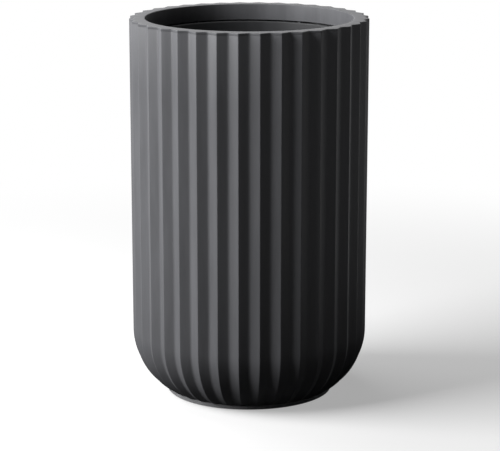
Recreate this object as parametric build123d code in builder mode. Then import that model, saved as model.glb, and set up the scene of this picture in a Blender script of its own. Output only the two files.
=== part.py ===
from build123d import *
import os
from math import asin, atan, cos, degrees, hypot, radians, sin, tan

# A round column planter, in millimetres, +Z up.
# The origin is on the floor, on the planter's axis. One flute valley faces -Y, the front.
# The shell is fluted all round. A flat rim closes its top, a plinth ring carries its base,
# and a smooth insert hangs in the mouth on ribs inside the shell.

# Overall size
overall_diameter = 381.0
overall_height = 609.6

# Fluted wall
flute_count = 36
flute_tilt = 22.8
valley_round = 6.5
wall_draft = 0.11
wall_thickness = 5.0

# Curved base of the shell
base_round_start = 104.0
base_round_radius = 112.0
base_steps = 6
inner_round_radius = 105.0
inner_base_steps = 4
floor_thickness = 6.0

# Rim
rim_thickness = 4.0
rim_width = 25.0
collar_depth = 26.0
collar_wall = 4.0
rim_web_count = 6
rim_web_thickness = 2.4
rim_web_depth = 12.0

# Support ribs inside the shell
rib_count = 6
rib_thickness = 4.0
rib_notch_height = 4.0

# Insert
insert_depth = 290.0
insert_wall = 2.5
insert_lip = 4.5
insert_lip_thickness = 3.5
insert_band_height = 48.0
insert_step = 5.0
insert_step_height = 6.0
insert_hole_radius = 2.5
insert_hole_count = 6
insert_hole_circle = 95.0

# Plinth ring
foot_height = 7.5
foot_radius = 134.0
foot_width = 30.0
foot_lip_height = 2.0
foot_lip_width = 5.0

# Pads under the plinth ring
pad_count = 4
pad_width = 16.0
pad_thickness = 1.5

# Screws that hold the plinth ring
screw_count = 4
screw_radius = 2.0
screw_length = 20.0
screw_head_radius = 4.0
screw_head_sides = 6
screw_head_height = 2.6
screw_recess_depth = 3.0
boss_wall = 4.0
boss_cover = 3.0

# Drain hole and its plug
drain_radius = 9.0
plug_flange_radius = 15.0
plug_flange_thickness = 3.0
plug_tab_width = 14.0
plug_tab_thickness = 4.0
plug_tab_height = 14.0

# Clearances
seat_gap = 0.3
lift_clearance = 2.2
lip_gap = 1.6
notch_clearance = 0.7
rib_clearance = 1.0
screw_clearance = 0.4
driver_clearance = 2.0
thread_clearance = 0.05

# The flute's corners. A rounded valley is set out by its two tangent points and its lowest point,
# which lie within a twentieth of a millimetre of the true arc.
half_pitch = radians(180 / flute_count)
tilt = radians(flute_tilt)
crest_radius = overall_diameter / 2
sharp_valley_radius = crest_radius * (cos(half_pitch) - sin(half_pitch) * tan(tilt))
valley_centre_radius = sharp_valley_radius + valley_round / cos(tilt)

# Shell
shell_top = overall_height - rim_thickness
draft_inset = (overall_height - base_round_start) * tan(radians(wall_draft))
wall_foot_radius = crest_radius - draft_inset
base_round_centre = wall_foot_radius - base_round_radius
base_round_angle = asin((base_round_start - foot_height) / base_round_radius)
floor_top = foot_height + floor_thickness
inner_crest_radius = wall_foot_radius - wall_thickness
inner_valley_radius = inner_crest_radius * sharp_valley_radius / crest_radius
inner_round_centre = inner_crest_radius - inner_round_radius
inner_round_angle = asin((base_round_start - floor_top) / inner_round_radius)

# Rim
mouth_radius = crest_radius - rim_width
collar_bottom = overall_height - collar_depth
collar_outer_radius = mouth_radius + collar_wall
rim_web_radius = inner_valley_radius - seat_gap

# Insert and the ribs that carry its lip
lip_radius = mouth_radius - lift_clearance
lip_top = collar_bottom - lip_gap
lip_bottom = lip_top - insert_lip_thickness
insert_top_radius = lip_radius - insert_lip
insert_bottom = lip_top - insert_depth
insert_band_bottom = lip_top - insert_band_height
insert_step_bottom = insert_band_bottom - insert_step_height
insert_lower_radius = insert_top_radius - insert_step
rib_top = lip_bottom - seat_gap
rib_inner_radius = insert_top_radius + rib_clearance
rib_notch_radius = lip_radius + notch_clearance
rib_shoulder_top = min(rib_top + rib_notch_height, collar_bottom - seat_gap)

# Plinth ring, pads and screws
foot_inner_radius = foot_radius - foot_width
foot_lip_radius = foot_inner_radius + foot_lip_width
foot_recess_radius = foot_lip_radius + seat_gap
underside = foot_height + foot_lip_height + seat_gap
fixing_circle = (foot_lip_radius + foot_radius) / 2
screw_seat = pad_thickness + screw_recess_depth
boss_radius = screw_radius + boss_wall
boss_hole_top = screw_seat + screw_length + boss_cover / 2
boss_top = boss_hole_top + boss_cover

# Plug
plug_stem_radius = drain_radius - seat_gap
plug_seat = floor_top + seat_gap
plug_flange_top = plug_seat + plug_flange_thickness


def polar_point(radius, angle):
    """A point of a sketch, by its radius and its angle in degrees from +X."""
    return (radius * cos(radians(angle)), radius * sin(radians(angle)))


def crest_radius_at(height):
    """Crest radius of the straight wall, which draws in a little towards the base."""
    return crest_radius - (overall_height - height) * tan(radians(wall_draft))


# Outlines at the rim, the first valley at -Y: the outer one with rounded valleys, the inner one sharp
outer_corners = []
inner_corners = []
for flute in range(flute_count):
    valley_angle = flute * 360 / flute_count - 90
    crest = polar_point(crest_radius, valley_angle + 180 / flute_count)
    inner_corners += [polar_point(sharp_valley_radius, valley_angle), crest]
    for turn in (-tilt, 0, tilt):
        inward = valley_centre_radius - valley_round * cos(turn)
        sideways = valley_round * sin(turn)
        corner_angle = valley_angle + degrees(atan(sideways / inward))
        outer_corners.append(polar_point(hypot(inward, sideways), corner_angle))
    outer_corners.append(crest)

with BuildSketch() as outer_outline:
    with BuildLine():
        Polyline(*outer_corners, close=True)
    make_face()

with BuildSketch() as inner_outline:
    with BuildLine():
        Polyline(*inner_corners, close=True)
    make_face()


def section(outline, height, section_crest_radius):
    """An outline at another height, scaled so that its crests lie on the given radius."""
    with BuildSketch(Plane.XY.offset(height)) as scaled_outline:
        add(outline.sketch)
        scale(by=section_crest_radius / crest_radius)
    return scaled_outline.sketch


def base_sections(outline, centre_radius, round_radius, round_angle, steps):
    """Outlines round a curved base, from its lower edge up to the foot of the straight wall."""
    angles = [round_angle * (1 - step / steps) for step in range(steps + 1)]
    return [section(outline, base_round_start - round_radius * sin(angle),
                    centre_radius + round_radius * cos(angle)) for angle in angles]


# One support rib, from the floor up, with a notch at its top where the insert's lip sits
with BuildPart() as rib:
    with BuildSketch(Plane.XZ):
        with BuildLine():
            Polyline((rib_inner_radius, foot_height), (rib_inner_radius, rib_top),
                     (rib_notch_radius, rib_top), (rib_notch_radius, rib_shoulder_top),
                     (crest_radius, rib_shoulder_top), (crest_radius, foot_height), close=True)
        make_face()
    extrude(amount=rib_thickness / 2, both=True)

# The space inside the shell, fluted like the outside so that the wall is even.
# The ribs and the screw bosses are left standing in it.
with BuildPart() as shell_space:
    loft([section(inner_outline, base_round_start, inner_crest_radius),
          section(inner_outline, shell_top, inner_crest_radius)], ruled=True)
    loft(base_sections(inner_outline, inner_round_centre, inner_round_radius,
                       inner_round_angle, inner_base_steps), ruled=True)
    with PolarLocations(0, rib_count):
        add(rib.part, mode=Mode.SUBTRACT)
    with BuildSketch(Plane.XY.offset(floor_top)):
        with PolarLocations(fixing_circle, screw_count):
            Circle(boss_radius)
    extrude(amount=boss_top - floor_top, mode=Mode.SUBTRACT)

# Shell: the straight fluted wall, then the same flutes drawn in round the curved base
with BuildPart() as fluted_body:
    loft([section(outer_outline, base_round_start, wall_foot_radius),
          section(outer_outline, shell_top, crest_radius_at(shell_top))], ruled=True)
    loft(base_sections(outer_outline, base_round_centre, base_round_radius,
                       base_round_angle, base_steps), ruled=True)
    add(shell_space.part, mode=Mode.SUBTRACT)
    with BuildSketch(Plane.XY.offset(foot_height)):
        Circle(foot_recess_radius)
    extrude(amount=underside - foot_height, mode=Mode.SUBTRACT)
    with BuildSketch(Plane.XY.offset(underside)):
        Circle(drain_radius)
    extrude(amount=floor_top - underside, mode=Mode.SUBTRACT)
    with BuildSketch(Plane.XY.offset(foot_height)):
        with PolarLocations(fixing_circle, screw_count):
            Circle(screw_radius + thread_clearance)
    extrude(amount=boss_hole_top - foot_height, mode=Mode.SUBTRACT)

# Rim: a flat plate cut to the flutes, and a collar into the mouth.
# Webs from the collar reach out to the flute valleys inside the shell and hold the rim central.
with BuildPart() as rim_ring:
    loft([section(outer_outline, shell_top, crest_radius_at(shell_top)),
          section(outer_outline, overall_height, crest_radius)], ruled=True)
    with BuildSketch(Plane.XY.offset(shell_top)):
        with PolarLocations(0, rim_web_count):
            Rectangle(rim_web_radius, rim_web_thickness, align=(Align.MIN, Align.CENTER))
    extrude(amount=-rim_web_depth)
    with BuildSketch(Plane.XY.offset(collar_bottom)):
        Circle(collar_outer_radius)
    extrude(amount=shell_top - collar_bottom)
    with BuildSketch(Plane.XY.offset(collar_bottom)):
        Circle(mouth_radius)
    extrude(amount=collar_depth, mode=Mode.SUBTRACT)

# Insert: a smooth pot that hangs by its lip, with a stacking step below its top band
with BuildPart() as insert_pot:
    with BuildSketch(Plane.XZ):
        with BuildLine():
            Polyline((0, insert_bottom), (insert_lower_radius, insert_bottom),
                     (insert_lower_radius, insert_step_bottom), (insert_top_radius, insert_band_bottom),
                     (insert_top_radius, lip_bottom), (lip_radius, lip_bottom), (lip_radius, lip_top),
                     (insert_top_radius - insert_wall, lip_top),
                     (insert_top_radius - insert_wall, insert_band_bottom),
                     (insert_lower_radius - insert_wall, insert_step_bottom),
                     (insert_lower_radius - insert_wall, insert_bottom + insert_wall),
                     (0, insert_bottom + insert_wall), close=True)
        make_face()
    revolve(axis=Axis.Z)
    with BuildSketch(Plane.XY.offset(insert_bottom)):
        with PolarLocations(insert_hole_circle, insert_hole_count):
            Circle(insert_hole_radius)
    extrude(amount=insert_wall, mode=Mode.SUBTRACT)

# Plinth ring: a smooth low ring with a lip that locates it in the shell's underside
with BuildPart() as foot_ring:
    with BuildSketch(Plane.XZ):
        with BuildLine():
            Polyline((foot_inner_radius, pad_thickness), (foot_radius, pad_thickness),
                     (foot_radius, foot_height), (foot_lip_radius, foot_height),
                     (foot_lip_radius, foot_height + foot_lip_height),
                     (foot_inner_radius, foot_height + foot_lip_height), close=True)
        make_face()
    revolve(axis=Axis.Z)
    with BuildSketch(Plane.XY.offset(pad_thickness)):
        with PolarLocations(fixing_circle, screw_count):
            Circle(screw_head_radius + driver_clearance)
    extrude(amount=screw_recess_depth, mode=Mode.SUBTRACT)
    with BuildSketch(Plane.XY.offset(screw_seat)):
        with PolarLocations(fixing_circle, screw_count):
            Circle(screw_radius + screw_clearance)
    extrude(amount=foot_height - screw_seat, mode=Mode.SUBTRACT)

# Screws, put in from below: a hexagon head and a plain shank
with BuildPart() as foot_screws:
    with BuildSketch(Plane.XY.offset(screw_seat - screw_head_height)):
        with PolarLocations(fixing_circle, screw_count):
            RegularPolygon(screw_head_radius, screw_head_sides)
    extrude(amount=screw_head_height)
    with BuildSketch(Plane.XY.offset(screw_seat)):
        with PolarLocations(fixing_circle, screw_count):
            Circle(screw_radius)
    extrude(amount=screw_length)

# Pads: square rubber pads stuck under the plinth ring, midway between the screws
with BuildPart() as foot_pads:
    with BuildSketch():
        with PolarLocations(fixing_circle, pad_count, start_angle=180 / pad_count):
            Rectangle(pad_width, pad_width)
    extrude(amount=pad_thickness)

# Plug: a rubber stopper that is pulled up out of the drain hole by its tab
with BuildPart() as drain_plug:
    with BuildSketch(Plane.XY.offset(underside)):
        Circle(plug_stem_radius)
    extrude(amount=plug_seat - underside)
    with BuildSketch(Plane.XY.offset(plug_seat)):
        Circle(plug_flange_radius)
    extrude(amount=plug_flange_thickness)
    with BuildSketch(Plane.XY.offset(plug_flange_top)):
        Rectangle(plug_tab_width, plug_tab_thickness)
    extrude(amount=plug_tab_height)

pieces = {
    "fluted_body": fluted_body,
    "rim_ring": rim_ring,
    "insert_pot": insert_pot,
    "foot_ring": foot_ring,
    "foot_screws": foot_screws,
    "foot_pads": foot_pads,
    "drain_plug": drain_plug,
}

os.makedirs("parts", exist_ok=True)
for piece_name, piece in pieces.items():
    piece.part.label = piece_name
    export_step(piece.part, f"parts/{piece_name}.step")
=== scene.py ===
from math import asin, atan2, copysign, cos, hypot, pi, radians, sin, tan

import bmesh
import bpy
from mathutils import Matrix, Vector


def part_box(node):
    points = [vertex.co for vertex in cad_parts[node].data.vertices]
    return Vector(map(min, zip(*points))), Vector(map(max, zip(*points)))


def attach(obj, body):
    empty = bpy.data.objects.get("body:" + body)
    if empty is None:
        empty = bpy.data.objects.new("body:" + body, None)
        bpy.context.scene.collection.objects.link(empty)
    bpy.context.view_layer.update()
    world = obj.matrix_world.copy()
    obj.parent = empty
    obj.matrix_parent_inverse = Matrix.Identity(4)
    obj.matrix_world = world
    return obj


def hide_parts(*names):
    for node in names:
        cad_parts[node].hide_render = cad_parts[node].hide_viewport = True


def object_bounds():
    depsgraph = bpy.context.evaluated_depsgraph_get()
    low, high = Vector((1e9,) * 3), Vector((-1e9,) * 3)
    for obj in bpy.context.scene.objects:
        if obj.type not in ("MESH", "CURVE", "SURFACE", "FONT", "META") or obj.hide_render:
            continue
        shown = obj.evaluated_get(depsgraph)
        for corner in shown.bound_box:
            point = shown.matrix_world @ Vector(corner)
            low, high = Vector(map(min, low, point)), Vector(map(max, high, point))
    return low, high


bl_info = {
    "name": "Fluted Column Planter",
    "version": (1, 0, 0),
    "blender": (4, 5, 0),
    "location": "View3D > Sidebar > Planter",
    "description": "Builds the looks of a fluted column planter around its packed frame",
    "category": "Object",
}

# Lengths are in metres, +Z up. The origin is on the floor on the planter's axis, and a flute valley faces -Y.
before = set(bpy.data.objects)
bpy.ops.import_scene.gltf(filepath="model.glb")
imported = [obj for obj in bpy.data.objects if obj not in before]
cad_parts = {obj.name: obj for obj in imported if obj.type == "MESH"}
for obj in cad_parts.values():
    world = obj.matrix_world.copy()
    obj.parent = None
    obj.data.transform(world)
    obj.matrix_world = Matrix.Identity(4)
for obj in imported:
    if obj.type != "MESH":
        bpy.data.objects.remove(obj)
CAD_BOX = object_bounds()

FULL_TURN = 2 * pi
FRONT = -pi / 2
SMOOTH_ANGLE = radians(32)

# Gaps and heights of the fits inside the planter
SEAT_GAP = 0.0003
RIB_CLEARANCE = 0.001
NOTCH_CLEARANCE = 0.0007
NOTCH_RISE = 0.0002
RIB_BITE = 0.0015
BOSS_TOP = 0.029
BOSS_HOLE_TOP = 0.026
WALL_FOOT_SHARE = 0.9949
WEB_REACH_SHARE = 0.9370
AXIS_RADIUS = 0.00001
ROUND_COPIES = 36

RIM_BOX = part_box("rim_ring")
BODY_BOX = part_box("fluted_body")
INSERT_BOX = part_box("insert_pot")
FOOT_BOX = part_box("foot_ring")
SCREW_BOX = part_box("foot_screws")
PLUG_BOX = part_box("drain_plug")


def length_property(name, description, default):
    return bpy.props.FloatProperty(name=name, description=description, default=default, unit="LENGTH")


def colour_property(name, description, default):
    return bpy.props.FloatVectorProperty(name=name, description=description, default=default,
                                         subtype="COLOR", min=0, max=1)


class FluteSizes(bpy.types.PropertyGroup):
    """The flutes of the shell and of the rim's edge."""
    count: bpy.props.IntProperty(name="Flutes", description="Flutes round the wall", default=36)
    tilt: bpy.props.FloatProperty(name="Face tilt", description="Lean of a flute's face from the wall",
                                  default=radians(22.8), subtype="ANGLE")
    valley_round: length_property("Valley radius", "Rounding in the valley of a flute", 0.0065)
    crest_round: length_property("Crest radius", "Rounding along the crest between two flutes", 0.0020)


class ShellSizes(bpy.types.PropertyGroup):
    """The fluted wall, its curved base and what stands inside it."""
    crest_radius: length_property("Crest radius", "Radius over the crests at the top", 0.1905)
    draft: bpy.props.FloatProperty(name="Draft", description="How far the wall draws in towards the base",
                                   default=radians(0.11), subtype="ANGLE")
    base_start: length_property("Base start", "Height at which the base starts to curve in", 0.104)
    base_round: length_property("Base radius", "Radius of the curved base", 0.112)
    inner_base_round: length_property("Inner base radius", "Radius of the base curve inside", 0.105)
    wall: length_property("Wall", "Thickness of the fluted wall", 0.005)
    floor: length_property("Floor", "Thickness of the floor", 0.006)
    drain_radius: length_property("Drain radius", "Radius of the drain hole", 0.009)
    rib_count: bpy.props.IntProperty(name="Ribs", description="Ribs that carry the insert", default=6)
    rib_thickness: length_property("Rib thickness", "Thickness of a support rib", 0.004)
    boss_radius: length_property("Boss radius", "Outer radius of a screw boss", 0.006)


class RimSizes(bpy.types.PropertyGroup):
    """The flat rim and its collar."""
    plate: length_property("Plate", "Thickness of the rim plate", 0.004)
    width: length_property("Width", "Width of the rim from crest to mouth", 0.025)
    collar: length_property("Collar", "Thickness of the collar", 0.004)
    web_count: bpy.props.IntProperty(name="Webs", description="Webs under the rim", default=6)
    web_thickness: length_property("Web thickness", "Thickness of a web", 0.0024)
    web_depth: length_property("Web depth", "How far a web hangs below the rim plate", 0.012)


class InsertSizes(bpy.types.PropertyGroup):
    """The lift-out insert."""
    wall: length_property("Wall", "Thickness of the insert's wall", 0.0025)
    lip_width: length_property("Lip width", "How far the lip stands out", 0.0045)
    lip_thickness: length_property("Lip thickness", "Thickness of the lip", 0.0035)
    band: length_property("Top band", "Height of the band above the stacking step", 0.048)
    step: length_property("Step", "How far the stacking step draws in", 0.005)
    step_height: length_property("Step height", "Height of the stacking step", 0.006)
    heel_round: length_property("Heel radius", "Rounding between wall and floor", 0.012)
    hole_count: bpy.props.IntProperty(name="Holes", description="Drain holes in the insert", default=6)
    hole_radius: length_property("Hole radius", "Radius of a drain hole", 0.0025)
    hole_circle: length_property("Hole circle", "Radius of the circle of drain holes", 0.095)


class PlinthSizes(bpy.types.PropertyGroup):
    """The plinth ring with its screws, pads and the drain plug."""
    width: length_property("Ring width", "Width of the plinth ring", 0.030)
    lip: length_property("Lip", "Width of the ring's locating lip", 0.005)
    lip_height: length_property("Lip height", "Height of the ring's locating lip", 0.002)
    screw_count: bpy.props.IntProperty(name="Screws", description="Screws and pads under the ring", default=4)
    screw_radius: length_property("Screw radius", "Radius of a screw's shank", 0.002)
    head_radius: length_property("Head radius", "Radius over the corners of a screw's head", 0.004)
    head_height: length_property("Head height", "Height of a screw's head", 0.0026)
    recess_radius: length_property("Recess radius", "Radius of the recess for a screw's head", 0.006)
    recess_depth: length_property("Recess depth", "Depth of the recess for a screw's head", 0.003)
    pad_width: length_property("Pad width", "Width of a square rubber pad", 0.016)
    plug_flange: length_property("Plug flange", "Thickness of the drain plug's flange", 0.003)
    tab_width: length_property("Tab width", "Width of the drain plug's tab", 0.014)
    tab_thickness: length_property("Tab thickness", "Thickness of the drain plug's tab", 0.004)


class FinishColours(bpy.types.PropertyGroup):
    """The colours of the finishes."""
    shell: colour_property("Shell", "Charcoal of the shell and rim", (0.0790, 0.0798, 0.0850))
    # Painted light: the plinth ring's charcoal is written about twice as light as the shell's, to make up for
    # the shade it gets under the shell's overhang.
    plinth: colour_property("Plinth", "Charcoal of the plinth ring", (0.150, 0.151, 0.156))
    insert: colour_property("Insert", "Black of the insert", (0.022, 0.0225, 0.024))
    rubber: colour_property("Rubber", "Black of the pads and the plug", (0.020, 0.020, 0.020))
    steel: colour_property("Steel", "Zinc plating of the screws", (0.55, 0.56, 0.57))
    floor: colour_property("Floor", "Pale studio floor", (0.43, 0.43, 0.43))


class PlanterSizes(bpy.types.PropertyGroup):
    """All sizes and colours of the planter."""
    flutes: bpy.props.PointerProperty(type=FluteSizes)
    shell: bpy.props.PointerProperty(type=ShellSizes)
    rim: bpy.props.PointerProperty(type=RimSizes)
    insert: bpy.props.PointerProperty(type=InsertSizes)
    plinth: bpy.props.PointerProperty(type=PlinthSizes)
    colours: bpy.props.PointerProperty(type=FinishColours)


# Outlines and profiles

VALLEY_STEPS = 5
CREST_STEPS = 4
FACE_STEPS = 3


def flute_half(flutes, crest_radius):
    """(radius, angle) from the valley at angle 0 to the next crest, for a given radius over the crests."""
    half = pi / flutes.count
    tilt = flutes.tilt
    sharp_valley = crest_radius * (cos(half) - sin(half) * tan(tilt))
    valley_centre = sharp_valley + flutes.valley_round / cos(tilt)
    lean = tilt + half
    crest_centre = crest_radius - flutes.crest_round / cos(lean)
    points = []
    for step in range(VALLEY_STEPS + 1):
        turn = tilt * step / VALLEY_STEPS
        points.append((valley_centre - flutes.valley_round * cos(turn), flutes.valley_round * sin(turn)))
    crest_arc = []
    for step in range(CREST_STEPS + 1):
        turn = lean * (1 - step / CREST_STEPS)
        out = crest_centre + flutes.crest_round * cos(turn)
        side = -flutes.crest_round * sin(turn)
        crest_arc.append((out * cos(half) - side * sin(half), out * sin(half) + side * cos(half)))
    start, end = points[-1], crest_arc[0]
    for step in range(1, FACE_STEPS):
        share = step / FACE_STEPS
        points.append(tuple(a + (b - a) * share for a, b in zip(start, end)))
    points += crest_arc
    return [(hypot(x, y), atan2(y, x)) for x, y in points]


def flute_section(flutes, crest_radius):
    """One flute from crest to crest, as (share of the crest radius, angle from the valley)."""
    half = flute_half(flutes, crest_radius)
    whole = [(radius, -angle) for radius, angle in reversed(half[1:])] + half
    return [(radius / crest_radius, angle) for radius, angle in whole]


def round_section(count, steps):
    """A plain arc in the same form: one of count equal turns round the axis."""
    return [(1.0, FULL_TURN / count * (step / steps - 0.5)) for step in range(steps + 1)]


def arc_points(centre, radius, start, end, steps, depth=1.0):
    """Points of a profile along an arc in the plane of radius and height; angles from +radius, in radians."""
    return [(centre[0] + radius * cos(start + (end - start) * step / steps),
             centre[1] + radius * sin(start + (end - start) * step / steps), depth)
            for step in range(steps + 1)]


def eased(corner, before, after, radius, steps):
    """Points that round one corner of a profile with the given radius."""
    here = Vector(corner[:2])
    back = (Vector(before[:2]) - here).normalized()
    ahead = (Vector(after[:2]) - here).normalized()
    half_angle = back.angle(ahead) / 2
    reach = radius / tan(half_angle)
    centre = here + (back + ahead).normalized() * radius / sin(half_angle)
    first, last = here + back * reach, here + ahead * reach
    turn = (last - centre).angle_signed(first - centre)
    points = []
    for step in range(steps + 1):
        spoke = first - centre
        spoke.rotate(Matrix.Rotation(turn * step / steps, 2))
        points.append((centre.x + spoke.x, centre.y + spoke.y, corner[2]))
    return points


def eased_profile(corners):
    """A closed profile from (radius, height, flute depth, rounding, steps) corners."""
    points = []
    for index, corner in enumerate(corners):
        rounding, steps = corner[3], corner[4]
        if rounding:
            points += eased(corner, corners[index - 1], corners[(index + 1) % len(corners)], rounding, steps)
        else:
            points.append(corner[:3])
    return points


# Meshes

def finished(name, made, smooth_angle=SMOOTH_ANGLE):
    """A new object from a bmesh: outward faces, and sharp edges where faces turn by more than the angle."""
    bmesh.ops.recalc_face_normals(made, faces=made.faces)
    mesh = bpy.data.meshes.new(name)
    made.to_mesh(mesh)
    made.free()
    shade(mesh, smooth_angle)
    piece = bpy.data.objects.new(name, mesh)
    bpy.context.scene.collection.objects.link(piece)
    return piece


def shade(mesh, smooth_angle):
    mesh.shade_smooth()
    mesh.set_sharp_from_angle(angle=smooth_angle)


def turned(point, angle):
    return Vector((point[0] * cos(angle) - point[1] * sin(angle),
                   point[0] * sin(angle) + point[1] * cos(angle), point[2]))


def wedge(profile, section):
    """One turn-share of a solid: a closed profile carried along one flute, its valley towards the front.

    A profile point's third value says how far it follows the flute: 1 fully, 0 not at all."""
    made = bmesh.new()
    rings = []
    for share, angle in section:
        ring = []
        for radius, height, depth in profile:
            out = radius * (1 + depth * (share - 1))
            ring.append(made.verts.new((out * cos(FRONT + angle), out * sin(FRONT + angle), height)))
        rings.append(ring)
    for ring, following in zip(rings, rings[1:]):
        for index in range(len(ring)):
            after = (index + 1) % len(ring)
            made.faces.new((ring[index], ring[after], following[after], following[index]))
    return made


def block(made, low, high, angle=0.0):
    """Adds a closed box between two corners, turned round the axis."""
    corners = [turned((x, y, z), angle) for z in (low[2], high[2]) for y in (low[1], high[1])
               for x in (low[0], high[0])]
    verts = [made.verts.new(corner) for corner in corners]
    for face in ((0, 1, 3, 2), (4, 6, 7, 5), (0, 4, 5, 1), (2, 3, 7, 6), (0, 2, 6, 4), (1, 5, 7, 3)):
        made.faces.new([verts[index] for index in face])


def cylinder(made, radius, bottom, top, place, steps=32):
    """Adds a closed cylinder along Z."""
    lower = [made.verts.new((place[0] + radius * cos(FULL_TURN * s / steps),
                             place[1] + radius * sin(FULL_TURN * s / steps), bottom)) for s in range(steps)]
    upper = [made.verts.new((v.co.x, v.co.y, top)) for v in lower]
    made.faces.new(lower[::-1])
    made.faces.new(upper)
    for s in range(steps):
        after = (s + 1) % steps
        made.faces.new((lower[s], lower[after], upper[after], upper[s]))


def on_circle(radius, angle):
    return (radius * cos(angle), radius * sin(angle))


# Geometry Nodes: what repeats round the planter's axis

def group_input(tree, name, kind, default=None, description=""):
    socket = tree.interface.new_socket(name=name, in_out="INPUT", socket_type=kind, description=description)
    if default is not None:
        socket.default_value = default
    return socket.identifier


def ring_of_copies_tree():
    """A node tree that repeats its geometry round the Z axis, welds the seams and sets the material."""
    tree = bpy.data.node_groups.new("Round The Axis", "GeometryNodeTree")
    ids = {
        "Geometry": group_input(tree, "Geometry", "NodeSocketGeometry"),
        "Count": group_input(tree, "Count", "NodeSocketInt", 36, "Copies round the axis"),
        "Weld": group_input(tree, "Weld", "NodeSocketFloat", 0.000004, "Distance within which seams join"),
        "Material": group_input(tree, "Material", "NodeSocketMaterial"),
    }
    tree.interface.new_socket(name="Geometry", in_out="OUTPUT", socket_type="NodeSocketGeometry")
    nodes, links = tree.nodes, tree.links
    entry = nodes.new("NodeGroupInput")
    leave = nodes.new("NodeGroupOutput")
    points = nodes.new("GeometryNodePoints")
    number = nodes.new("GeometryNodeInputIndex")
    pitch = nodes.new("ShaderNodeMath")
    pitch.operation = "DIVIDE"
    pitch.inputs[0].default_value = FULL_TURN
    turn = nodes.new("ShaderNodeMath")
    turn.operation = "MULTIPLY"
    spin = nodes.new("ShaderNodeCombineXYZ")
    copies = nodes.new("GeometryNodeInstanceOnPoints")
    real = nodes.new("GeometryNodeRealizeInstances")
    weld = nodes.new("GeometryNodeMergeByDistance")
    finish = nodes.new("GeometryNodeSetMaterial")
    links.new(entry.outputs["Count"], points.inputs["Count"])
    links.new(entry.outputs["Count"], pitch.inputs[1])
    links.new(number.outputs["Index"], turn.inputs[0])
    links.new(pitch.outputs[0], turn.inputs[1])
    links.new(turn.outputs[0], spin.inputs["Z"])
    links.new(points.outputs["Points"], copies.inputs["Points"])
    links.new(entry.outputs["Geometry"], copies.inputs["Instance"])
    links.new(spin.outputs["Vector"], copies.inputs["Rotation"])
    links.new(copies.outputs["Instances"], real.inputs["Geometry"])
    links.new(real.outputs["Geometry"], weld.inputs["Geometry"])
    links.new(entry.outputs["Weld"], weld.inputs["Distance"])
    links.new(weld.outputs["Geometry"], finish.inputs["Geometry"])
    links.new(entry.outputs["Material"], finish.inputs["Material"])
    links.new(finish.outputs["Geometry"], leave.inputs["Geometry"])
    return tree, ids


def repeated(piece, count, material, smooth_angle=SMOOTH_ANGLE):
    """The piece repeated round the axis by the node tree, as a plain mesh with its modifier gone."""
    tree = bpy.data.node_groups.get("Round The Axis")
    if tree is None:
        tree, ids = ring_of_copies_tree()
    else:
        ids = {item.name: item.identifier for item in tree.interface.items_tree if item.in_out == "INPUT"}
    modifier = piece.modifiers.new("Round The Axis", "NODES")
    modifier.node_group = tree
    modifier[ids["Count"]] = count
    modifier[ids["Material"]] = material
    settle(piece)
    if not piece.data.materials:
        piece.data.materials.append(material)
    shade(piece.data, smooth_angle)
    return piece


def settle(piece):
    """Applies the piece's modifiers by replacing its mesh with the evaluated one."""
    evaluated = piece.evaluated_get(bpy.context.evaluated_depsgraph_get())
    mesh = bpy.data.meshes.new_from_object(evaluated)
    piece.modifiers.clear()
    old = piece.data
    piece.data = mesh
    bpy.data.meshes.remove(old)
    mesh.name = piece.name


def carve(piece, tool, operation, smooth_angle=SMOOTH_ANGLE):
    """Joins a tool to the piece, or cuts it away, and removes the tool."""
    modifier = piece.modifiers.new("Carve", "BOOLEAN")
    modifier.operation = operation
    modifier.solver = "EXACT"
    modifier.object = tool
    settle(piece)
    gone = tool.data
    bpy.data.objects.remove(tool)
    bpy.data.meshes.remove(gone)
    keep_one_finish(piece.data)
    shade(piece.data, smooth_angle)


def keep_one_finish(mesh):
    """Gives the faces that came from a tool the piece's own finish."""
    mesh.polygons.foreach_set("material_index", [0] * len(mesh.polygons))
    finishes = [material for material in mesh.materials if material]
    mesh.materials.clear()
    mesh.materials.append(finishes[0])


def seat(piece, body, node):
    """Says what a finished piece rides on, and hides the CAD node it stands for."""
    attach(piece, body)
    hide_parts(node)


# Shader node groups: effects that several finishes share

def shader_group(name, inputs, outputs):
    tree = bpy.data.node_groups.new(name, "ShaderNodeTree")
    for label, kind, default in inputs:
        socket = tree.interface.new_socket(name=label, in_out="INPUT", socket_type=kind)
        if default is not None:
            socket.default_value = default
    for label, kind in outputs:
        tree.interface.new_socket(name=label, in_out="OUTPUT", socket_type=kind)
    return tree, tree.nodes.new("NodeGroupInput"), tree.nodes.new("NodeGroupOutput")


def math_node(tree, operation, *values):
    node = tree.nodes.new("ShaderNodeMath")
    node.operation = operation
    for index, value in enumerate(values):
        if hasattr(value, "links"):
            tree.links.new(value, node.inputs[index])
        else:
            node.inputs[index].default_value = value
    return node.outputs[0]


def noise(tree, vector, scale, detail, roughness=0.5):
    node = tree.nodes.new("ShaderNodeTexNoise")
    tree.links.new(vector, node.inputs["Vector"])
    if hasattr(scale, "links"):
        tree.links.new(scale, node.inputs["Scale"])
    else:
        node.inputs["Scale"].default_value = scale
    node.inputs["Detail"].default_value = detail
    node.inputs["Roughness"].default_value = roughness
    return node.outputs["Fac"]


def span(tree, value, low, high, to_low=0.0, to_high=1.0):
    """A value mapped from one span to another, held at the ends."""
    node = tree.nodes.new("ShaderNodeMapRange")
    tree.links.new(value, node.inputs["Value"])
    for label, number in (("From Min", low), ("From Max", high), ("To Min", to_low), ("To Max", to_high)):
        if hasattr(number, "links"):
            tree.links.new(number, node.inputs[label])
        else:
            node.inputs[label].default_value = number
    return node.outputs["Result"]


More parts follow.
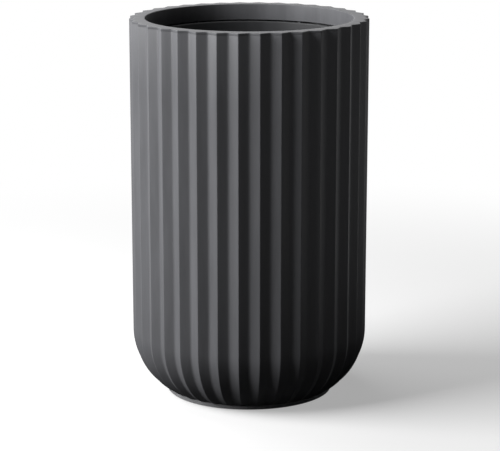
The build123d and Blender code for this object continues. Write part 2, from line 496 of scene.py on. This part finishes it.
def moulded_grain_group():
    """A fine stipple with faint streaks along Z: a height, and a mottle from 0 to 1."""
    tree, entry, leave = shader_group(
        "Moulded Grain",
        [("Vector", "NodeSocketVector", None), ("Grain Scale", "NodeSocketFloat", 900.0),
         ("Flow Scale", "NodeSocketFloat", 45.0)],
        [("Height", "NodeSocketFloat"), ("Mottle", "NodeSocketFloat")])
    grain = noise(tree, entry.outputs["Vector"], entry.outputs["Grain Scale"], 3.0, 0.55)
    stretch = tree.nodes.new("ShaderNodeMapping")
    stretch.inputs["Scale"].default_value = (1.0, 1.0, 0.12)
    tree.links.new(entry.outputs["Vector"], stretch.inputs["Vector"])
    flow = noise(tree, stretch.outputs["Vector"], entry.outputs["Flow Scale"], 4.0, 0.6)
    height = math_node(tree, "MULTIPLY_ADD", flow, 0.25, grain)
    tree.links.new(height, leave.inputs["Height"])
    tree.links.new(span(tree, flow, 0.35, 0.65), leave.inputs["Mottle"])
    return tree


def edge_wear_group():
    """A mask of worn raised edges, from the surface's own convexity, broken by noise."""
    tree, entry, leave = shader_group(
        "Edge Wear",
        [("Vector", "NodeSocketVector", None), ("Break Up", "NodeSocketFloat", 60.0),
         ("Threshold", "NodeSocketFloat", 0.56)],
        [("Wear", "NodeSocketFloat")])
    shape = tree.nodes.new("ShaderNodeNewGeometry")
    above = math_node(tree, "SUBTRACT", shape.outputs["Pointiness"], entry.outputs["Threshold"])
    edge = span(tree, above, 0.0, 0.05)
    cloud = noise(tree, entry.outputs["Vector"], entry.outputs["Break Up"], 4.0, 0.65)
    patches = span(tree, cloud, 0.38, 0.62)
    tree.links.new(math_node(tree, "MULTIPLY", edge, patches), leave.inputs["Wear"])
    return tree


def settled_dust_group():
    """A thin film of dust on what faces up, thicker in patches."""
    tree, entry, leave = shader_group(
        "Settled Dust",
        [("Vector", "NodeSocketVector", None), ("Patch Scale", "NodeSocketFloat", 9.0)],
        [("Dust", "NodeSocketFloat")])
    shape = tree.nodes.new("ShaderNodeNewGeometry")
    parts = tree.nodes.new("ShaderNodeSeparateXYZ")
    tree.links.new(shape.outputs["True Normal"], parts.inputs["Vector"])
    facing = span(tree, parts.outputs["Z"], 0.6, 0.98)
    cloud = noise(tree, entry.outputs["Vector"], entry.outputs["Patch Scale"], 5.0, 0.6)
    patches = span(tree, cloud, 0.3, 0.75)
    specks = span(tree, noise(tree, entry.outputs["Vector"], 420.0, 2.0), 0.62, 0.72)
    amount = math_node(tree, "ADD", patches, math_node(tree, "MULTIPLY", specks, 0.5))
    tree.links.new(math_node(tree, "MULTIPLY", facing, amount), leave.inputs["Dust"])
    return tree


def shared_group(name, build):
    """A node group by name, built at its first use."""
    return bpy.data.node_groups.get(name) or build()


def place_group(tree, group, vector):
    node = tree.nodes.new("ShaderNodeGroup")
    node.node_tree = group
    tree.links.new(vector, node.inputs["Vector"])
    return node


def tint(tree, base, other, factor):
    """Mixes a colour towards another by a factor socket."""
    node = tree.nodes.new("ShaderNodeMix")
    node.data_type = "RGBA"
    tree.links.new(factor, node.inputs["Factor"])
    for socket, colour in ((node.inputs[6], base), (node.inputs[7], other)):
        if hasattr(colour, "links"):
            tree.links.new(colour, socket)
        else:
            socket.default_value = (*colour, 1.0)
    return node.outputs[2]


def scaled(colour, factor):
    return tuple(min(1.0, channel * factor) for channel in colour)


def surface_finish(name, colour, roughness, grain_scale, grain_height, wear, dust, metallic=0.0, mottle=0.10,
                   ior=1.25):
    """A moulded or plated surface: grain, mottled colour and gloss, worn edges and settled dust."""
    material = bpy.data.materials.new(name)
    material.use_nodes = True
    tree = material.node_tree
    shader = tree.nodes["Principled BSDF"]
    shader.inputs["Metallic"].default_value = metallic
    shader.inputs["IOR"].default_value = ior
    place = tree.nodes.new("ShaderNodeTexCoord").outputs["Object"]
    grain = place_group(tree, shared_group("Moulded Grain", moulded_grain_group), place)
    grain.inputs["Grain Scale"].default_value = grain_scale
    worn = place_group(tree, shared_group("Edge Wear", edge_wear_group), place)
    dusty = place_group(tree, shared_group("Settled Dust", settled_dust_group), place)
    mottled = tint(tree, scaled(colour, 1 - mottle), scaled(colour, 1 + mottle), grain.outputs["Mottle"])
    worn_share = math_node(tree, "MULTIPLY", worn.outputs["Wear"], wear)
    dust_share = math_node(tree, "MULTIPLY", dusty.outputs["Dust"], dust)
    polished = tint(tree, mottled, scaled(colour, 1.7), worn_share)
    dusted = tint(tree, polished, (0.42, 0.41, 0.39), dust_share)
    tree.links.new(dusted, shader.inputs["Base Color"])
    gloss = span(tree, grain.outputs["Mottle"], 0.0, 1.0, roughness - 0.03, roughness + 0.03)
    gloss = math_node(tree, "SUBTRACT", gloss, math_node(tree, "MULTIPLY", worn_share, 0.12))
    gloss = math_node(tree, "ADD", gloss, math_node(tree, "MULTIPLY", dust_share, 0.3))
    tree.links.new(gloss, shader.inputs["Roughness"])
    bump = tree.nodes.new("ShaderNodeBump")
    bump.inputs["Strength"].default_value = 0.35
    bump.inputs["Distance"].default_value = grain_height
    tree.links.new(grain.outputs["Height"], bump.inputs["Height"])
    tree.links.new(bump.outputs["Normal"], shader.inputs["Normal"])
    return material


def finish_for(slot):
    """The finish of a slot of the record, made once."""
    name = slot + "_finish"
    made = bpy.data.materials.get(name)
    if made:
        return made
    colours = bpy.context.scene.column_planter.colours
    if slot == "shell":
        return surface_finish(name, colours.shell, 0.46, 1100.0, 0.00004, wear=0.30, dust=0.05)
    if slot == "plinth":
        # Painted light: the plinth's colour is lightened against the shell's to make up for the shade under
        # the overhang.
        return surface_finish(name, colours.plinth, 0.50, 1100.0, 0.00004, wear=0.25, dust=0.05)
    if slot == "insert_plastic":
        return surface_finish(name, colours.insert, 0.52, 900.0, 0.00003, wear=0.15, dust=0.03)
    if slot == "screw_steel":
        return surface_finish(name, colours.steel, 0.34, 1600.0, 0.00001, wear=0.35, dust=0.02,
                              metallic=1.0, mottle=0.06, ior=1.5)
    return surface_finish(name, colours.rubber, 0.72, 1500.0, 0.00005, wear=0.10, dust=0.10)


# The pieces

def sizes():
    return bpy.context.scene.column_planter


class PLANTER_OT_shell(bpy.types.Operator):
    """Build the fluted shell with its curved base, floor, ribs and screw bosses"""
    bl_idname = "planter.shell"
    bl_label = "Fluted Shell"

    def execute(self, context):
        planter = sizes()
        shell, flutes, plinth = planter.shell, planter.flutes, planter.plinth
        foot_height = BODY_BOX[0].z
        shell_top = BODY_BOX[1].z
        rim_top = RIM_BOX[1].z
        wall_foot = shell.crest_radius - (rim_top - shell.base_start) * tan(shell.draft)
        wall_top = shell.crest_radius - (rim_top - shell_top) * tan(shell.draft)
        base_centre = wall_foot - shell.base_round
        foot_turn = -asin((shell.base_start - foot_height) / shell.base_round)
        inner_crest = wall_foot - shell.wall
        inner_centre = inner_crest - shell.inner_base_round
        floor_top = foot_height + shell.floor
        floor_turn = -asin((shell.base_start - floor_top) / shell.inner_base_round)
        lower_edge = arc_points((base_centre, shell.base_start), shell.base_round, foot_turn, 0.0, 22)
        lip_radius, recess_top = lip_seat(plinth)
        edge_round, top_round = 0.0007, 0.0002
        profile = eased(lower_edge[0], (lip_radius, foot_height), lower_edge[1], edge_round, 3)
        profile += lower_edge[1:]
        profile += [(wall_foot + (wall_top - wall_foot) * share,
                     shell.base_start + (shell_top - shell.base_start) * share, 1.0)
                    for share in (0.2, 0.4, 0.6, 0.8)]
        profile += eased((wall_top, shell_top, 1.0), (wall_top, shell.base_start), (inner_crest, shell_top),
                         top_round, 2)
        profile += [(inner_crest, shell_top, 1.0)]
        profile += arc_points((inner_centre, shell.base_start), shell.inner_base_round, 0.0, floor_turn, 14)
        profile += [(lip_radius, floor_top, 0.0), (shell.drain_radius, floor_top, 0.0),
                    (shell.drain_radius, recess_top, 0.0), (lip_radius, recess_top, 0.0),
                    (lip_radius, foot_height, 0.0)]
        piece = finished("fluted_shell", wedge(profile, flute_section(flutes, shell.crest_radius)))
        repeated(piece, flutes.count, finish_for("shell"))
        carve(piece, self.inner_supports(planter, floor_top), "UNION")
        carve(piece, screw_holes(plinth, foot_height), "DIFFERENCE")
        seat(piece, "planter", "fluted_body")
        return {"FINISHED"}

    def inner_supports(self, planter, floor_top):
        """The ribs that carry the insert's lip, and the screw bosses, all standing on the floor."""
        shell, insert = planter.shell, planter.insert
        lip_radius, lip_top = INSERT_BOX[1].x, INSERT_BOX[1].z
        inner = lip_radius - insert.lip_width + RIB_CLEARANCE
        notch = lip_radius + NOTCH_CLEARANCE
        rib_top = lip_top - insert.lip_thickness - SEAT_GAP
        shoulder_top = lip_top + NOTCH_RISE
        outline = self.rib_outline(planter, inner, notch, rib_top, shoulder_top)
        made = bmesh.new()
        for number in range(shell.rib_count):
            self.rib(made, outline, shell.rib_thickness, FULL_TURN * number / shell.rib_count)
        circle = fixing_radius(planter.plinth)
        for number in range(planter.plinth.screw_count):
            place = on_circle(circle, FULL_TURN * number / planter.plinth.screw_count)
            cylinder(made, shell.boss_radius, floor_top - 0.002, BOSS_TOP, place, 40)
        return finished("inner_supports", made)

    def rib_outline(self, planter, inner, notch, rib_top, shoulder_top):
        """(radius, height) points of a rib that follows the inside of the wall and of the curved base."""
        shell = planter.shell
        inner_crest = shell.crest_radius * WALL_FOOT_SHARE - shell.wall
        valley_share = min(share for share, _ in flute_section(planter.flutes, shell.crest_radius))
        low_centre = inner_crest - shell.inner_base_round
        floor_top = BODY_BOX[0].z + shell.floor
        turn = -asin((shell.base_start - floor_top) / shell.inner_base_round)
        base = arc_points((low_centre, shell.base_start), shell.inner_base_round, 0.0, turn, 10)
        wall = inner_crest * valley_share
        below = [(radius * wall / inner_crest + RIB_BITE, height - RIB_BITE) for radius, height, _ in base]
        kept = [point for point in below if point[0] > inner]
        last, beyond = kept[-1], below[len(kept)]
        share = (last[0] - inner) / (last[0] - beyond[0])
        end = (inner, last[1] + (beyond[1] - last[1]) * share)
        return [(inner, rib_top), (notch, rib_top), (notch, shoulder_top), (wall + RIB_BITE, shoulder_top),
                *kept, end]

    def rib(self, made, outline, thickness, angle):
        """Adds one rib, a flat plate in the plane of the axis, turned to its angle."""
        half = thickness / 2
        verts = []
        for side in (-half, half):
            verts.append([made.verts.new(turned((radius, side, height), angle))
                          for radius, height in outline])
        made.faces.new(verts[0])
        made.faces.new(verts[1][::-1])
        count = len(outline)
        for index in range(count):
            after = (index + 1) % count
            made.faces.new((verts[0][index], verts[0][after], verts[1][after], verts[1][index]))


def fixing_radius(plinth):
    """Radius of the circle that the screws and the pads stand on."""
    outer = FOOT_BOX[1].x
    return (outer - plinth.width + plinth.lip + outer) / 2


def lip_seat(plinth):
    """Radius and height of the recess under the shell that the plinth ring's lip sits in."""
    radius = FOOT_BOX[1].x - plinth.width + plinth.lip + SEAT_GAP
    return radius, BODY_BOX[0].z + plinth.lip_height + SEAT_GAP


def screw_holes(plinth, bottom):
    """The tool that cuts the screws' holes up into the bosses."""
    made = bmesh.new()
    for number in range(plinth.screw_count):
        place = on_circle(fixing_radius(plinth), FULL_TURN * number / plinth.screw_count)
        cylinder(made, plinth.screw_radius + 0.00005, bottom - 0.001, BOSS_HOLE_TOP, place, 24)
    return finished("screw_holes", made)


class PLANTER_OT_rim(bpy.types.Operator):
    """Build the flat rim with its fluted edge, its collar and the webs below it"""
    bl_idname = "planter.rim"
    bl_label = "Rim"

    def execute(self, context):
        planter = sizes()
        rim, flutes, shell = planter.rim, planter.flutes, planter.shell
        top, bottom = RIM_BOX[1].z, RIM_BOX[0].z
        plate_bottom = top - rim.plate
        mouth = shell.crest_radius - rim.width
        collar_out = mouth + rim.collar
        profile = eased_profile([
            (shell.crest_radius, plate_bottom, 1.0, 0.0002, 2),
            (shell.crest_radius, top, 1.0, 0.0008, 5),
            (mouth + 0.006, top, 0.0, 0, 0),
            (mouth, top, 0.0, 0.0010, 5),
            (mouth, bottom, 0.0, 0.0003, 3),
            (collar_out, bottom, 0.0, 0.0003, 3),
            (collar_out, plate_bottom, 0.0, 0, 0),
        ])
        piece = finished("rim", wedge(profile, flute_section(flutes, shell.crest_radius)))
        repeated(piece, flutes.count, finish_for("shell"))
        made = bmesh.new()
        reach = BODY_BOX[1].x * WEB_REACH_SHARE
        half = rim.web_thickness / 2
        low = (collar_out - 0.001, -half, plate_bottom - rim.web_depth)
        high = (reach, half, plate_bottom + 0.001)
        for number in range(rim.web_count):
            block(made, low, high, FULL_TURN * number / rim.web_count)
        carve(piece, finished("webs", made), "UNION")
        seat(piece, "planter", "rim_ring")
        return {"FINISHED"}


class PLANTER_OT_insert(bpy.types.Operator):
    """Build the smooth insert with its lip, stacking step and drain holes"""
    bl_idname = "planter.insert"
    bl_label = "Insert"

    def execute(self, context):
        planter = sizes()
        insert = planter.insert
        lip_radius, lip_top, bottom = INSERT_BOX[1].x, INSERT_BOX[1].z, INSERT_BOX[0].z
        lip_bottom = lip_top - insert.lip_thickness
        upper = lip_radius - insert.lip_width
        lower = upper - insert.step
        band_bottom = lip_top - insert.band
        step_bottom = band_bottom - insert.step_height
        wall = insert.wall
        profile = eased_profile([
            (lip_radius, lip_bottom, 0.0, 0.0008, 3),
            (lip_radius, lip_top, 0.0, 0.0017, 5),
            (upper - wall, lip_top, 0.0, 0.0017, 5),
            (upper - wall, band_bottom, 0.0, 0.004, 5),
            (lower - wall, step_bottom, 0.0, 0.004, 5),
            (lower - wall, bottom + wall, 0.0, insert.heel_round - wall, 8),
            (0.03, bottom + wall, 0.0, 0, 0),
            (AXIS_RADIUS, bottom + wall, 0.0, 0, 0),
            (AXIS_RADIUS, bottom, 0.0, 0, 0),
            (0.03, bottom, 0.0, 0, 0),
            (lower, bottom, 0.0, insert.heel_round, 8),
            (lower, step_bottom, 0.0, 0.004, 5),
            (upper, band_bottom, 0.0, 0.004, 5),
            (upper, lip_bottom, 0.0, 0.0010, 3),
        ])
        piece = finished("insert", wedge(profile, round_section(ROUND_COPIES, 5)))
        repeated(piece, ROUND_COPIES, finish_for("insert_plastic"))
        close_poles(piece)
        made = bmesh.new()
        for number in range(insert.hole_count):
            place = on_circle(insert.hole_circle, FULL_TURN * number / insert.hole_count)
            cylinder(made, insert.hole_radius, bottom - 0.005, bottom + wall + 0.005, place, 28)
        carve(piece, finished("drain_holes", made), "DIFFERENCE")
        seat(piece, "insert", "insert_pot")
        return {"FINISHED"}


def close_poles(piece):
    """Draws the tiny rings at the axis together into single points."""
    made = bmesh.new()
    made.from_mesh(piece.data)
    near = [v for v in made.verts if hypot(v.co.x, v.co.y) < 0.0001]
    bmesh.ops.remove_doubles(made, verts=near, dist=0.0002)
    made.to_mesh(piece.data)
    made.free()


class PLANTER_OT_plinth(bpy.types.Operator):
    """Build the smooth plinth ring with its locating lip and screw recesses"""
    bl_idname = "planter.plinth"
    bl_label = "Plinth Ring"

    def execute(self, context):
        plinth = sizes().plinth
        outer, bottom, top = FOOT_BOX[1].x, FOOT_BOX[0].z, FOOT_BOX[1].z
        shoulder = top - plinth.lip_height
        inner = outer - plinth.width
        lip = inner + plinth.lip
        profile = eased_profile([
            (outer, bottom, 0.0, 0.0012, 5),
            (outer, shoulder, 0.0, 0.0006, 4),
            (lip, shoulder, 0.0, 0, 0),
            (lip, top, 0.0, 0.0004, 2),
            (inner, top, 0.0, 0.0004, 2),
            (inner, bottom, 0.0, 0.0010, 4),
        ])
        piece = finished("plinth_ring", wedge(profile, round_section(ROUND_COPIES, 5)))
        repeated(piece, ROUND_COPIES, finish_for("plinth"))
        made = bmesh.new()
        for number in range(plinth.screw_count):
            place = on_circle(fixing_radius(plinth), FULL_TURN * number / plinth.screw_count)
            recess_top = bottom + plinth.recess_depth
            cylinder(made, plinth.recess_radius, bottom - 0.001, recess_top, place, 40)
            cylinder(made, plinth.screw_radius + 0.0004, recess_top - 0.0001, shoulder + 0.001, place, 24)
        carve(piece, finished("recesses", made), "DIFFERENCE")
        seat(piece, "planter", "foot_ring")
        return {"FINISHED"}


class PLANTER_OT_fixings(bpy.types.Operator):
    """Build the screws and the rubber pads under the plinth ring"""
    bl_idname = "planter.fixings"
    bl_label = "Screws and Pads"

    def execute(self, context):
        plinth = sizes().plinth
        circle = fixing_radius(plinth)
        seat_height = SCREW_BOX[0].z + plinth.head_height
        screw = finished("screws", self.screw(plinth, circle, seat_height))
        repeated(screw, plinth.screw_count, finish_for("screw_steel"))
        seat(screw, "planter", "foot_screws")
        pad = finished("pads", self.pad(plinth, circle))
        repeated(pad, plinth.screw_count, finish_for("pad_rubber"))
        seat(pad, "planter", "foot_pads")
        return {"FINISHED"}

    def screw(self, plinth, circle, seat_height):
        """One screw: a chamfered hexagon head over a washer face, and a shank with thread ridges."""
        made = bmesh.new()
        head_bottom = SCREW_BOX[0].z
        top = SCREW_BOX[1].z
        flat = plinth.head_radius * cos(pi / 6)
        steps = 24
        rings = []
        for height, radius, hexagonal in (
                (head_bottom, flat * 0.90, 0.0), (head_bottom + 0.0004, flat, 1.0),
                (seat_height - 0.0004, flat, 1.0), (seat_height - 0.0004, flat * 1.04, 0.0),
                (seat_height, flat * 1.04, 0.0), (seat_height, plinth.screw_radius * 0.9, 0.0)):
            rings.append(self.ring(made, circle, height, radius, hexagonal, steps))
        ridge = 0.0014
        height = seat_height + 0.002
        while height < top - 0.002:
            for rise, share in ((0.0, 0.82), (0.4, 1.0), (0.5, 1.0), (0.9, 0.82)):
                radius = plinth.screw_radius * share
                rings.append(self.ring(made, circle, height + ridge * rise, radius, 0.0, steps))
            height += ridge
        rings.append(self.ring(made, circle, top, plinth.screw_radius * 0.35, 0.0, steps))
        for lower, upper in zip(rings, rings[1:]):
            for s in range(steps):
                after = (s + 1) % steps
                made.faces.new((lower[s], lower[after], upper[after], upper[s]))
        made.faces.new(rings[0][::-1])
        made.faces.new(rings[-1])
        return made

    def ring(self, made, circle, height, radius, hexagonal, steps):
        """A ring of vertices round a screw's axis: a circle, or a hexagon with flats at the radius."""
        verts = []
        for s in range(steps):
            angle = FULL_TURN * s / steps
            corner = (angle + pi / 6) % (pi / 3) - pi / 6
            out = radius / cos(corner) if hexagonal else radius
            verts.append(made.verts.new((circle + out * cos(angle), out * sin(angle), height)))
        return verts

    def pad(self, plinth, circle):
        """One square pad with softened corners and edges, midway between two screws."""
        made = bmesh.new()
        turn = pi / plinth.screw_count
        half = plinth.pad_width / 2
        height = FOOT_BOX[0].z
        corner_round = 0.0025
        outline = []
        for quarter in range(4):
            middle = pi / 4 + quarter * pi / 2
            centre = Vector((copysign(1.0, cos(middle)), copysign(1.0, sin(middle)))) * (half - corner_round)
            for step in range(6):
                angle = middle - pi / 4 + pi / 2 * step / 5
                outline.append(centre + Vector((cos(angle), sin(angle))) * corner_round)
        rings = []
        for z, inset in ((0.0, 0.0006), (0.0002, 0.0002), (0.0005, 0.0),
                         (height - 0.0002, 0.0), (height, 0.0002)):
            share = 1 - inset / half
            rings.append([made.verts.new(turned((circle + p.x * share, p.y * share, z), turn))
                          for p in outline])
        count = len(outline)
        for lower, upper in zip(rings, rings[1:]):
            for s in range(count):
                after = (s + 1) % count
                made.faces.new((lower[s], lower[after], upper[after], upper[s]))
        made.faces.new(rings[0][::-1])
        made.faces.new(rings[-1])
        return made


class PLANTER_OT_plug(bpy.types.Operator):
    """Build the rubber drain plug with its pull tab"""
    bl_idname = "planter.plug"
    bl_label = "Drain Plug"

    def execute(self, context):
        plinth = sizes().plinth
        bottom, top, outer = PLUG_BOX[0].z, PLUG_BOX[1].z, PLUG_BOX[1].x
        flange_bottom = BODY_BOX[0].z + sizes().shell.floor + SEAT_GAP
        flange_top = flange_bottom + plinth.plug_flange
        stem = sizes().shell.drain_radius - SEAT_GAP
        profile = eased_profile([
            (AXIS_RADIUS, bottom, 0.0, 0, 0),
            (stem, bottom, 0.0, 0.0012, 4),
            (stem, flange_bottom, 0.0, 0, 0),
            (outer, flange_bottom, 0.0, 0.0005, 3),
            (outer, flange_top, 0.0, 0.0010, 4),
            (AXIS_RADIUS, flange_top, 0.0, 0, 0),
        ])
        piece = finished("plug", wedge(profile, round_section(24, 2)))
        repeated(piece, 24, finish_for("plug_rubber"))
        close_poles(piece)
        made = bmesh.new()
        half_width, half_thick = plinth.tab_width / 2, plinth.tab_thickness / 2
        block(made, (-half_width, -half_thick, flange_top - 0.001), (half_width, half_thick, top))
        bmesh.ops.bevel(made, geom=[e for e in made.edges if max(v.co.z for v in e.verts) > flange_top],
                        offset=0.0012, segments=3, affect="EDGES")
        carve(piece, finished("tab", made), "UNION")
        seat(piece, "plug", "drain_plug")
        return {"FINISHED"}


# The stage

CAMERA_DISTANCE = 3.400
CAMERA_HEIGHT = 1.0585
CAMERA_PITCH = 0.22769
CAMERA_LENS = 155.2
CAMERA_SENSOR = 36.0
CAMERA_SHIFT = 0.0015
FLOOR_GLOW = 0.38
WORLD_FILL = 0.015


class PLANTER_OT_stage(bpy.types.Operator):
    """Set the pale floor, the soft studio lights, the world and the camera"""
    bl_idname = "planter.stage"
    bl_label = "Stage"

    def execute(self, context):
        scene = context.scene
        scene.view_settings.view_transform = "Standard"
        self.camera(scene)
        self.floor(scene)
        self.world(scene)
        self.softbox(scene, "key_softbox", azimuth=-75, elevation=30, distance=2.6,
                     width=1.9, height=1.6, power=188)
        self.softbox(scene, "top_softbox", azimuth=-140, elevation=60, distance=2.4,
                     width=1.6, height=1.6, power=26)
        return {"FINISHED"}

    def camera(self, scene):
        camera = bpy.data.objects.new("camera", bpy.data.cameras.new("camera"))
        camera.data.lens = CAMERA_LENS
        camera.data.sensor_width = CAMERA_SENSOR
        camera.data.shift_x = CAMERA_SHIFT
        camera.data.clip_end = 50
        camera.location = (0, -CAMERA_DISTANCE, CAMERA_HEIGHT)
        camera.rotation_euler = (pi / 2 - CAMERA_PITCH, 0, 0)
        scene.collection.objects.link(camera)
        scene.camera = camera

    def softbox(self, scene, name, azimuth, elevation, distance, width, height, power):
        """A soft lamp. Its azimuth is measured from the front, negative to the left."""
        lamp = bpy.data.lights.new(name, "AREA")
        lamp.shape = "RECTANGLE"
        lamp.size, lamp.size_y = width, height
        lamp.energy = power
        holder = bpy.data.objects.new(name, lamp)
        turn, rise = radians(azimuth), radians(elevation)
        target = Vector((0, 0, CAD_BOX[1].z / 2))
        direction = Vector((sin(turn) * cos(rise), -cos(turn) * cos(rise), sin(rise)))
        holder.location = target + direction * distance
        holder.rotation_euler = (-direction).to_track_quat("-Z", "Y").to_euler()
        scene.collection.objects.link(holder)

    def floor(self, scene):
        made = bmesh.new()
        bmesh.ops.create_circle(made, cap_ends=True, segments=128, radius=6.0)
        mesh = bpy.data.meshes.new("floor")
        made.to_mesh(mesh)
        made.free()
        floor = bpy.data.objects.new("floor", mesh)
        scene.collection.objects.link(floor)
        floor.data.materials.append(self.floor_material())

    def floor_material(self):
        """A matt floor that pales to white away from the planter.

        It is dark to scattered light, and to mirrored rays close to the planter, as no real floor is: this
        paints shade on the planter's curved base and plinth, which get no bounce light from the floor and see
        it as dark in their reflections close by."""
        material = bpy.data.materials.new("studio_floor")
        material.use_nodes = True
        tree = material.node_tree
        shader = tree.nodes["Principled BSDF"]
        shader.inputs["Roughness"].default_value = 0.9
        shader.inputs["Specular IOR Level"].default_value = 0.0
        place = tree.nodes.new("ShaderNodeTexCoord").outputs["Object"]
        far = tree.nodes.new("ShaderNodeVectorMath")
        far.operation = "LENGTH"
        tree.links.new(place, far.inputs[0])
        reach = span(tree, far.outputs["Value"], 0.55, 1.7)
        reach.node.interpolation_type = "SMOOTHSTEP"
        # Painted shade: mirrored rays see the floor dark and unlit within about 0.3 m of the axis, and pale
        # only beyond 1.2 m, so the planter's lower side reflects shade instead of the pale floor.
        clear = span(tree, far.outputs["Value"], 0.30, 1.2)
        clear.node.interpolation_type = "SMOOTHSTEP"
        seen = seen_rays(tree, clear)
        grain = noise(tree, place, 160.0, 4.0)
        colours = sizes().colours
        speckled = tint(tree, scaled(colours.floor, 0.985), scaled(colours.floor, 1.01), grain)
        pale = tint(tree, speckled, (0.0, 0.0, 0.0), reach)
        # Painted shade: scattered rays, and mirrored rays close to the planter, see the floor almost black
        # (0.04), so it throws no bounce light onto the planter's lower side.
        dark = tint(tree, (0.04, 0.04, 0.04), pale, seen)
        tree.links.new(dark, shader.inputs["Base Color"])
        glow = span(tree, reach, 0.0, 1.0, FLOOR_GLOW, 1.0)
        shader.inputs["Emission Color"].default_value = (1, 1, 1, 1)
        # Painted shade: the floor's glow is also gone for scattered rays and for mirrored rays close to the
        # planter.
        tree.links.new(math_node(tree, "MULTIPLY", glow, seen), shader.inputs["Emission Strength"])
        return material

    def world(self, scene):
        """White to the camera and to mirrored rays, and a faint fill otherwise."""
        world = bpy.data.worlds.new("studio")
        scene.world = world
        world.use_nodes = True
        tree = world.node_tree
        backdrop = tree.nodes["Background"]
        backdrop.inputs["Color"].default_value = (1, 1, 1, 1)
        seen = seen_rays(tree)
        tree.links.new(span(tree, seen, 0.0, 1.0, WORLD_FILL, 1.0), backdrop.inputs["Strength"])


def seen_rays(tree, mirrored_share=1.0):
    """1 for rays from the camera, the given share for mirrored or transmitted ones, 0 for scattered light."""
    path = tree.nodes.new("ShaderNodeLightPath")
    mirrored = math_node(tree, "MAXIMUM", path.outputs["Is Glossy Ray"], path.outputs["Is Transmission Ray"])
    mirrored = math_node(tree, "MULTIPLY", mirrored, mirrored_share)
    return math_node(tree, "MAXIMUM", path.outputs["Is Camera Ray"], mirrored)


class PLANTER_PT_panel(bpy.types.Panel):
    """The planter's pieces in the 3D view's sidebar"""
    bl_idname = "PLANTER_PT_panel"
    bl_label = "Column Planter"
    bl_space_type = "VIEW_3D"
    bl_region_type = "UI"
    bl_category = "Planter"

    def draw(self, context):
        for operator in OPERATORS:
            self.layout.operator(operator.bl_idname)


PROPERTY_GROUPS = (FluteSizes, ShellSizes, RimSizes, InsertSizes, PlinthSizes, FinishColours, PlanterSizes)
OPERATORS = (PLANTER_OT_stage, PLANTER_OT_shell, PLANTER_OT_rim, PLANTER_OT_insert, PLANTER_OT_plinth,
             PLANTER_OT_fixings, PLANTER_OT_plug)


def register():
    for cls in (*PROPERTY_GROUPS, *OPERATORS, PLANTER_PT_panel):
        bpy.utils.register_class(cls)
    bpy.types.Scene.column_planter = bpy.props.PointerProperty(type=PlanterSizes)


def unregister():
    del bpy.types.Scene.column_planter
    for cls in reversed((*PROPERTY_GROUPS, *OPERATORS, PLANTER_PT_panel)):
        bpy.utils.unregister_class(cls)


def main():
    register()
    bpy.ops.planter.stage()
    bpy.ops.planter.shell()
    bpy.ops.planter.rim()
    bpy.ops.planter.insert()
    bpy.ops.planter.plinth()
    bpy.ops.planter.fixings()
    bpy.ops.planter.plug()


if __name__ == "__main__":
    main()
